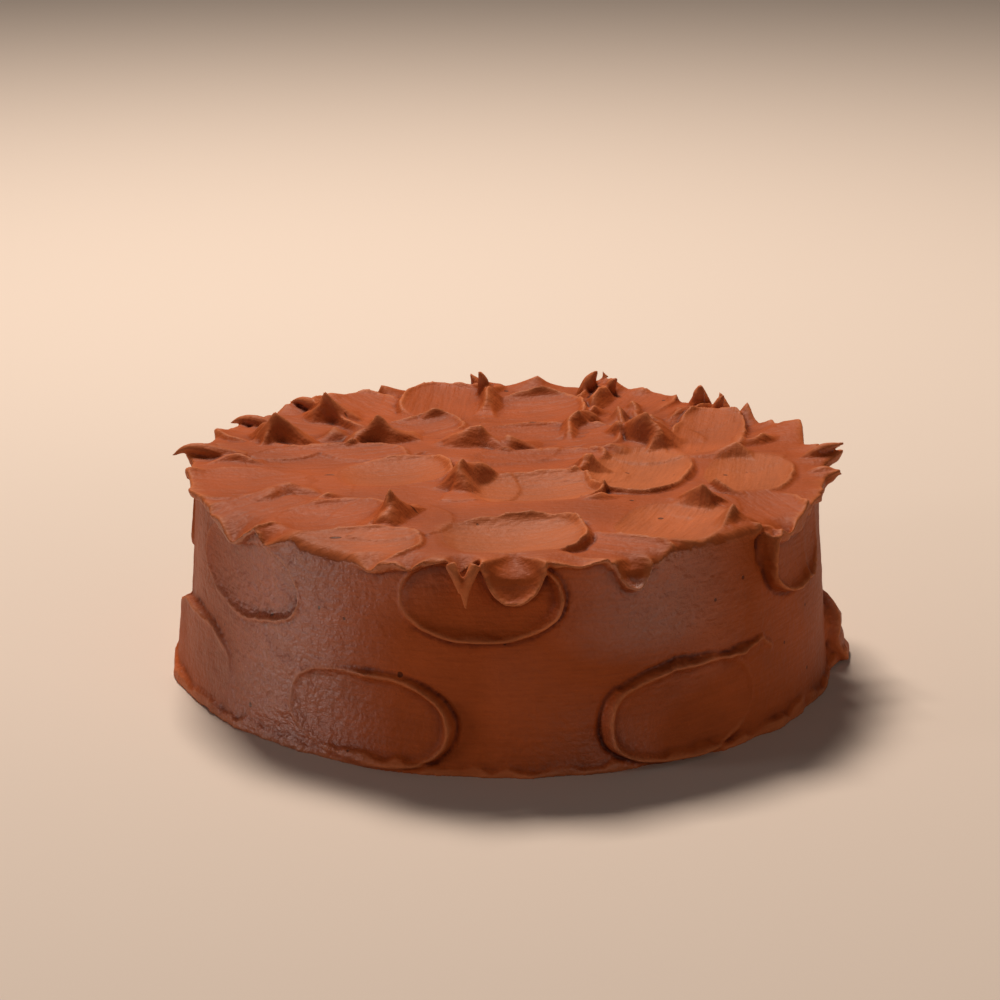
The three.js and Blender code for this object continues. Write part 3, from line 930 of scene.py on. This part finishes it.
    @staticmethod
    def span(
        material: bpy.types.Material,
        value: bpy.types.NodeSocket,
        source: tuple[float, float],
        target: tuple[float, float],
    ) -> bpy.types.NodeSocket:
        """Maps a socket's value from one range to another, without going beyond it.

        Args:
            material: The material being built.
            value: The socket.
            source: The range of its value.
            target: The range that it is mapped to.

        Returns:
            The socket of the result.
        """
        ramp = material.node_tree.nodes.new("ShaderNodeMapRange")
        ramp.inputs["From Min"].default_value, ramp.inputs["From Max"].default_value = source
        ramp.inputs["To Min"].default_value, ramp.inputs["To Max"].default_value = target
        material.node_tree.links.new(value, ramp.inputs["Value"])
        return ramp.outputs["Result"]

    @staticmethod
    def combined(
        material: bpy.types.Material, operation: str, *values: bpy.types.NodeSocket | float
    ) -> bpy.types.NodeSocket:
        """Works out an operation on sockets or numbers.

        Args:
            material: The material being built.
            operation: What is worked out, such as MULTIPLY_ADD.
            *values: The sockets or numbers that it takes, in their order.

        Returns:
            The socket of the result.
        """
        node = material.node_tree.nodes.new("ShaderNodeMath")
        node.operation = operation
        for slot, value in zip(node.inputs, values):
            if isinstance(value, float):
                slot.default_value = value
            else:
                material.node_tree.links.new(value, slot)
        return node.outputs["Value"]

    @staticmethod
    def noise(
        material: bpy.types.Material, place: bpy.types.NodeSocket, scale: float, detail: float
    ) -> bpy.types.NodeSocket:
        """Adds a noise texture.

        Args:
            material: The material being built.
            place: Where the texture is read.
            scale: Its scale.
            detail: How many finer layers it has.

        Returns:
            The socket of its value.
        """
        texture = material.node_tree.nodes.new("ShaderNodeTexNoise")
        texture.inputs["Scale"].default_value = scale
        texture.inputs["Detail"].default_value = detail
        material.node_tree.links.new(place, texture.inputs["Vector"])
        return texture.outputs["Fac"]


@dataclass
class IcedCake:
    """The whole cake: one closed skin of icing over a flat underside.

    Skin above top_from that faces up by more than facing_up counts as the top, which is top_sticky
    greasy. Points below flat_below are pressed flat. broad_passes is how many times the bend of the
    skin is averaged to find its broad creases, and fine_passes how many to find its fine ones.
    """

    top: IcedTop = field(default_factory=IcedTop)
    wall: IcedWall = field(default_factory=IcedWall)
    finish: ButtercreamFinish = field(default_factory=ButtercreamFinish)
    triangles: int = 194_000
    top_from: float = 62.0
    facing_up: float = 0.35
    top_sticky: float = 0.15
    flat_below: float = 0.25
    fine_passes: int = 2
    broad_passes: int = 14
    pulls: list[Pull] = field(default_factory=list)
    strands: list[Strand] = field(default_factory=list)

    def __post_init__(self) -> None:
        """Lists where the icing is pulled out into tips, hooks and curls."""
        self.pulls = [
            Pull(175, 4, 1.5, 1, 7, wide=0.8),
            Pull(168, 3, 1, 0, 6),
            Pull(160, 2.5, 1.5, 0, 6),
            Pull(151, 2.5, 2, 0, 5),
            Pull(137, 1.5, 2.5, 2, 8, wide=1.3, sharpness=1.4),
            Pull(127, 1, 2.5, 0, 6),
            Pull(114, 0, 4.5, 4, 9),
            Pull(95, -1, 6, 5, 8, wide=0.6, sharpness=1.4),
            Pull(85, 0, 4.5, -2, 11, wide=1.2),
            Pull(69, 0, 8.5, 3, 7, wide=1.2),
            Pull(62, 0, 4.5, -2, 6),
            Pull(48, 0, 8, 1, 7, sharpness=1.0, wide=0.7),
            Pull(42, 1, 6, 4, 6, wide=0.8),
            Pull(36, 3, 5.5, 3, 7),
            Pull(29, 2, 2.5, 0, 6),
            Pull(22, 7, 4, 3, 9, wide=1.4, sharpness=1.2),
            Pull(12, 4, 2.5, -2, 8),
            Pull(3, 9, 4.5, 0.5, 10, hook=-0.5, wide=0.7, tall=1.3, sharpness=1.5),
            Pull(-6, 7, 3, -1, 8, hook=-1, wide=0.8, tall=1.2),
            Pull(-17, 2.0, 1, 0, 8),
            Pull(-174, 2.5, 2, 0, 6),
            Pull(-164, 3.0, 0, 0, 7),
            Pull(-152, 1.5, -2, 0, 7),
            Pull(-145, 2.5, -6, 3, 10, wide=1.2, sharpness=1.4),
            Pull(-134, 1.5, -5.5, -3, 8, wide=1.1, sharpness=1.5),
            Pull(-113, 2.5, -4.5, -1, 6, wide=1.3, sharpness=1.2),
            Pull(-107, 3, -4, 2, 7, wide=1.4),
            Pull(-97.5, 3.0, -5, 0, 6, wide=1.0, sharpness=1.4),
            Pull(-88.8, -6, -1, 0, 9, out=106, wide=1.2, tall=0.6, sharpness=1.2),
            Pull(-78, 1.5, -2.5, 0, 8, wide=1.6, sharpness=1.2),
            Pull(-68.5, -2, -1, 0, 7, out=106, wide=1.0, tall=0.6, sharpness=1.2),
            Pull(-64, 0.5, -2, 0, 6),
            Pull(-40, 1.5, -3, 1, 6, wide=1.4),
            Pull(-35, 3, -6, 0, 7, wide=1.2),
            Pull(2, 5, 1, 0, 8, out=113, up=14, wide=2.4, sharpness=0.8),
            Pull(3, 8, 0, 0, 9, out=113, up=3, wide=2.4, sharpness=0.8),
        ]
        self.strands = [
            Strand(
                ((-92, 11.5, 67), (-101, 11, 70), (-107, 10.5, 72.2), (-111.5, 10, 72.6), (-116, 9, 70.6)),
                (4.5, 3.6, 2.5, 1.5, 0.3),
            ),
            Strand(
                ((-80, 48, 67), (-86, 49.5, 69.6), (-91, 50.5, 71.6), (-95.5, 51.5, 72), (-100, 52, 70.6)),
                (4.2, 3.4, 2.5, 1.6, 0.3),
            ),
            Strand(
                (
                    (-62, 64, 67),
                    (-67, 67.5, 69.8),
                    (-71.5, 70.5, 72.6),
                    (-75.5, 73, 73.6),
                    (-80, 75.5, 72.4),
                ),
                (4.2, 3.4, 2.5, 1.5, 0.3),
            ),
            Strand(((-8.5, 95, 68), (-9.2, 96, 75.5), (-10.5, 96, 79)), (3.2, 2.0, 0.5)),
            Strand(((29, 94, 68), (31, 95, 75.5), (33.5, 94.5, 79.5)), (4.2, 2.6, 0.6)),
            Strand(((37, 93, 68), (39, 94, 74.5), (41, 93, 77)), (3.4, 2.0, 0.5)),
            Strand(((70, 74, 68), (70.5, 75, 76), (71, 74.5, 79)), (3.4, 2.2, 0.8)),
            Strand(((75, 68, 68), (78, 68.5, 75), (79, 68, 77)), (3.0, 1.5, 0.4)),
            Strand(((101, 7, 67), (109, 6.5, 73.6), (116, 6, 76.0)), (3.2, 2.2, 0.4)),
            Strand(((101, -10, 67), (108, -11, 71.0), (113.5, -12, 70.0)), (3.0, 1.8, 0.4)),
            Strand(((-17.5, -108.5, 69), (-15.6, -111.0, 65.5), (-13.8, -111.2, 61)), (1.9, 1.6, 1.4)),
            Strand(
                ((-9.8, -109.5, 69), (-11.4, -111.4, 65.5), (-12.9, -111.2, 61), (-12.8, -110.4, 55)),
                (1.9, 1.7, 1.5, 0.35),
            ),
        ]

    def build(self, grain: Grain) -> bpy.types.Object:
        """Models the cake and dresses it.

        Args:
            grain: How fine to model it.

        Returns:
            The finished piece.
        """
        cake = self.blank(grain)
        self.sculpt(cake)
        self.draw_strands(cake)
        self.even_out(cake, grain)
        self.note_strokes(cake)
        cake.data.materials.append(self.finish.material())
        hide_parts("iced_cake")
        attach(cake, "root")
        return cake

    def blank(self, grain: Grain) -> bpy.types.Object:
        """Adds the plain drum of icing, remeshed fine enough to be worked.

        Args:
            grain: How fine to remesh it.

        Returns:
            The drum.
        """
        bpy.ops.object.select_all(action="DESELECT")
        size = self.wall.height * MM
        bpy.ops.mesh.primitive_cylinder_add(
            vertices=360, radius=self.wall.rim_radius * MM, depth=size, location=(0, 0, size / 2)
        )
        drum = bpy.context.object
        drum.name = drum.data.name = "buttercream"
        bpy.ops.object.transform_apply(location=True, rotation=True, scale=True)
        self.remesh(drum, grain.value)
        return drum

    @staticmethod
    def remesh(piece: bpy.types.Object, voxel: float) -> None:
        """Gives a piece an even skin of small faces.

        Args:
            piece: The piece, which is the active one.
            voxel: How wide the faces are, in millimetres.
        """
        even = piece.modifiers.new("even", "REMESH")
        even.mode = "VOXEL"
        even.voxel_size = voxel * MM
        bpy.ops.object.modifier_apply(modifier=even.name)

    def sculpt(self, piece: bpy.types.Object) -> None:
        """Works the drum's skin into swipes, presses, peaks and pulled tips.

        Args:
            piece: The drum.
        """
        points = self.points_of(piece)
        bearing = np.degrees(np.arctan2(points[:, 1], points[:, 0]))
        radius, _ = self.wall.surface(bearing, points[:, 2])
        points[:, :2] *= (radius / self.wall.rim_radius)[:, None]
        height, _ = self.top.surface(points[:, 0], points[:, 1])
        points[:, 2] *= height / self.wall.height
        points += sum(pull.shift(points) for pull in self.pulls)
        points[:, 2] = np.maximum(points[:, 2], 0.0)
        piece.data.vertices.foreach_set("co", (points * MM).ravel())
        piece.data.update()

    def draw_strands(self, piece: bpy.types.Object) -> None:
        """Joins the strands to the icing, whose remesh then melts them into one skin.

        Args:
            piece: The worked icing.
        """
        strands = [strand.build() for strand in self.strands]
        bpy.ops.object.select_all(action="DESELECT")
        for part in (*strands, piece):
            part.select_set(True)
        bpy.context.view_layer.objects.active = piece
        bpy.ops.object.join()

    def even_out(self, piece: bpy.types.Object, grain: Grain) -> None:
        """Evens out what the pulls stretched, and thins the faces where the skin is flat.

        Args:
            piece: The icing with its strands.
            grain: How fine to remesh it.
        """
        self.remesh(piece, grain.value)
        count = sum(len(face.vertices) - 2 for face in piece.data.polygons)
        if count > self.triangles:
            thin = piece.modifiers.new("thin", "DECIMATE")
            thin.ratio = self.triangles / count
            bpy.ops.object.modifier_apply(modifier=thin.name)
        bpy.ops.object.shade_smooth()
        points = self.points_of(piece)
        points[points[:, 2] < self.flat_below, 2] = 0.0
        piece.data.vertices.foreach_set("co", (points * MM).ravel())
        piece.data.update()

    def note_strokes(self, piece: bpy.types.Object) -> None:
        """Stores, at each point, what the finish reads there.

        These are its place along the spatula's stroke, how pale and how greasy it is, and how sharp an
        edge it lies on.

        Args:
            piece: The finished icing.
        """
        mesh = piece.data
        points = self.points_of(piece)
        normals = np.empty(len(points) * 3)
        mesh.vertex_normals.foreach_get("vector", normals)
        normals = normals.reshape(-1, 3)
        bearing = np.degrees(np.arctan2(points[:, 1], points[:, 0]))
        _, on_wall = self.wall.surface(bearing, points[:, 2])
        _, on_top = self.top.surface(points[:, 0], points[:, 1])
        level = (points[:, 2] > self.top_from) & (normals[:, 2] > self.facing_up)
        comb = np.where(level[:, None], on_top.comb, on_wall.comb)
        tone = np.where(level, on_top.tone, on_wall.tone)
        mesh.attributes.new("tone", "FLOAT", "POINT").data.foreach_set("value", tone)
        mesh.attributes.new("comb", "FLOAT_VECTOR", "POINT").data.foreach_set("vector", comb.ravel())
        turn = np.radians(bearing)
        x, y = np.cos(turn) * self.wall.rim_radius, np.sin(turn) * self.wall.rim_radius
        sticky = np.where(level, self.top_sticky, self.wall.sticky(x, y, points[:, 2]))
        mesh.attributes.new("sticky", "FLOAT", "POINT").data.foreach_set("value", sticky)
        # The finish paints shade in creases and a highlight on lips from this rating.
        edge = self.sharpness(mesh, points, normals)
        mesh.attributes.new("edge", "FLOAT", "POINT").data.foreach_set("value", edge)

    def sharpness(self, mesh: bpy.types.Mesh, points: np.ndarray, normals: np.ndarray) -> np.ndarray:
        """Rates how sharp the skin is at each point.

        Args:
            mesh: The mesh of the piece.
            points: Its points, in millimetres.
            normals: Its normals.

        Returns:
            0 in a crease, 0.5 on the flat and 1 on a thin lip.
        """
        pairs = np.empty(len(mesh.edges) * 2, dtype=int)
        mesh.edges.foreach_get("vertices", pairs)
        first, second = pairs.reshape(-1, 2).T
        gap = points[second] - points[first]
        length = np.maximum(np.linalg.norm(gap, axis=1), 1e-6)
        bend = np.bincount(first, -np.sum(gap * normals[first], axis=1) / length, len(points))
        bend += np.bincount(second, np.sum(gap * normals[second], axis=1) / length, len(points))
        count = np.bincount(first, None, len(points)) + np.bincount(second, None, len(points))
        bend /= np.maximum(count, 1)
        broad = bend
        for step in range(self.broad_passes):
            total = np.bincount(first, broad[second], len(points))
            total = total + np.bincount(second, broad[first], len(points))
            broad = 0.5 * broad + 0.5 * total / np.maximum(count, 1)
            if step + 1 == self.fine_passes:
                bend = broad
        return np.clip(0.5 + 1.5 * bend + 2.4 * broad, 0.0, 1.0)

    @staticmethod
    def points_of(piece: bpy.types.Object) -> np.ndarray:
        """Reads the points of a piece.

        Args:
            piece: The piece.

        Returns:
            Its points, in millimetres.
        """
        points = np.empty(len(piece.data.vertices) * 3)
        piece.data.vertices.foreach_get("co", points)
        return points.reshape(-1, 3) / MM


@dataclass(frozen=True)
class SoftLight:
    """A broad, soft studio light that looks at the cake."""

    name: str
    place: tuple[float, float, float]
    target: tuple[float, float, float]
    size: tuple[float, float]
    power: float
    colour: tuple[float, float, float]

    def add(self) -> bpy.types.Object:
        """Hangs the light in the scene.

        Returns:
            The lamp.
        """
        light = bpy.data.lights.new(self.name, "AREA")
        light.shape = "RECTANGLE"
        light.size, light.size_y = self.size
        light.energy = self.power
        light.color = self.colour
        lamp = bpy.data.objects.new(self.name, light)
        bpy.context.scene.collection.objects.link(lamp)
        lamp.location = self.place
        aim = Vector(self.target) - Vector(self.place)
        lamp.rotation_euler = aim.to_track_quat("-Z", "Y").to_euler()
        return lamp


@dataclass
class Studio:
    """The plain pale floor, the lights and the camera."""

    camera_place: tuple[float, float, float] = (0.0, -0.953, 0.341)
    camera_pitch: float = 16.58
    camera_yaw: float = 0.149
    lens: float = 103.86
    sensor: float = 36.0
    floor_size: float = 8.0
    floor_colour: tuple[float, float, float] = (0.62, 0.54, 0.48)
    floor_roughness: float = 0.85
    air: tuple[float, float, float] = (1.0, 0.90, 0.84)
    air_strength: float = 0.06
    lights: tuple[SoftLight, ...] = (
        SoftLight("overhead", (-0.25, 0.84, 1.56), (0, 0, 0.06), (0.48, 0.42), 39.0, (1.0, 0.86, 0.73)),
        SoftLight("left_window", (-2.05, -0.66, 0.22), (0, 0, 0.04), (0.40, 0.80), 11.8, (1.0, 0.87, 0.83)),
        SoftLight("front_fill", (1.25, -1.78, 0.60), (0, 0, 0.04), (1.2, 0.8), 7.0, (1.0, 0.86, 0.74)),
    )

    def build(self) -> None:
        """Sets up the studio."""
        self.floor()
        for light in self.lights:
            light.add()
        self.camera()
        self.air_light()

    def floor(self) -> None:
        """Lays the floor."""
        bpy.ops.object.select_all(action="DESELECT")
        bpy.ops.mesh.primitive_plane_add(size=self.floor_size, location=(0, 0, 0))
        sheet = bpy.context.object
        sheet.name = sheet.data.name = "studio_floor"
        material = bpy.data.materials.new("pale_floor")
        material.use_nodes = True
        shader = material.node_tree.nodes["Principled BSDF"]
        shader.inputs["Base Color"].default_value = (*self.floor_colour, 1.0)
        shader.inputs["Roughness"].default_value = self.floor_roughness
        sheet.data.materials.append(material)

    def camera(self) -> None:
        """Sets up the camera where the photograph was taken from."""
        lens = bpy.data.cameras.new("photo_camera")
        lens.lens = self.lens
        lens.sensor_width = self.sensor
        camera = bpy.data.objects.new("photo_camera", lens)
        camera.location = self.camera_place
        pitch = math.radians(90.0 - self.camera_pitch)
        camera.rotation_euler = (pitch, 0.0, math.radians(self.camera_yaw))
        bpy.context.scene.collection.objects.link(camera)
        bpy.context.scene.camera = camera

    def air_light(self) -> None:
        """Fills the room with a faint even light."""
        world = bpy.data.worlds.new("room")
        world.use_nodes = True
        backdrop = world.node_tree.nodes["Background"]
        backdrop.inputs["Color"].default_value = (*self.air, 1.0)
        backdrop.inputs["Strength"].default_value = self.air_strength
        bpy.context.scene.world = world
        bpy.context.scene.view_settings.view_transform = "Standard"


def main() -> None:
    """Builds the cake and its studio."""
    logging.basicConfig(level=logging.INFO)
    cake = IcedCake().build(Grain.FULL)
    log.info("%s: %d faces", cake.name, len(cake.data.polygons))
    Studio().build()


if __name__ == "__main__":
    main()
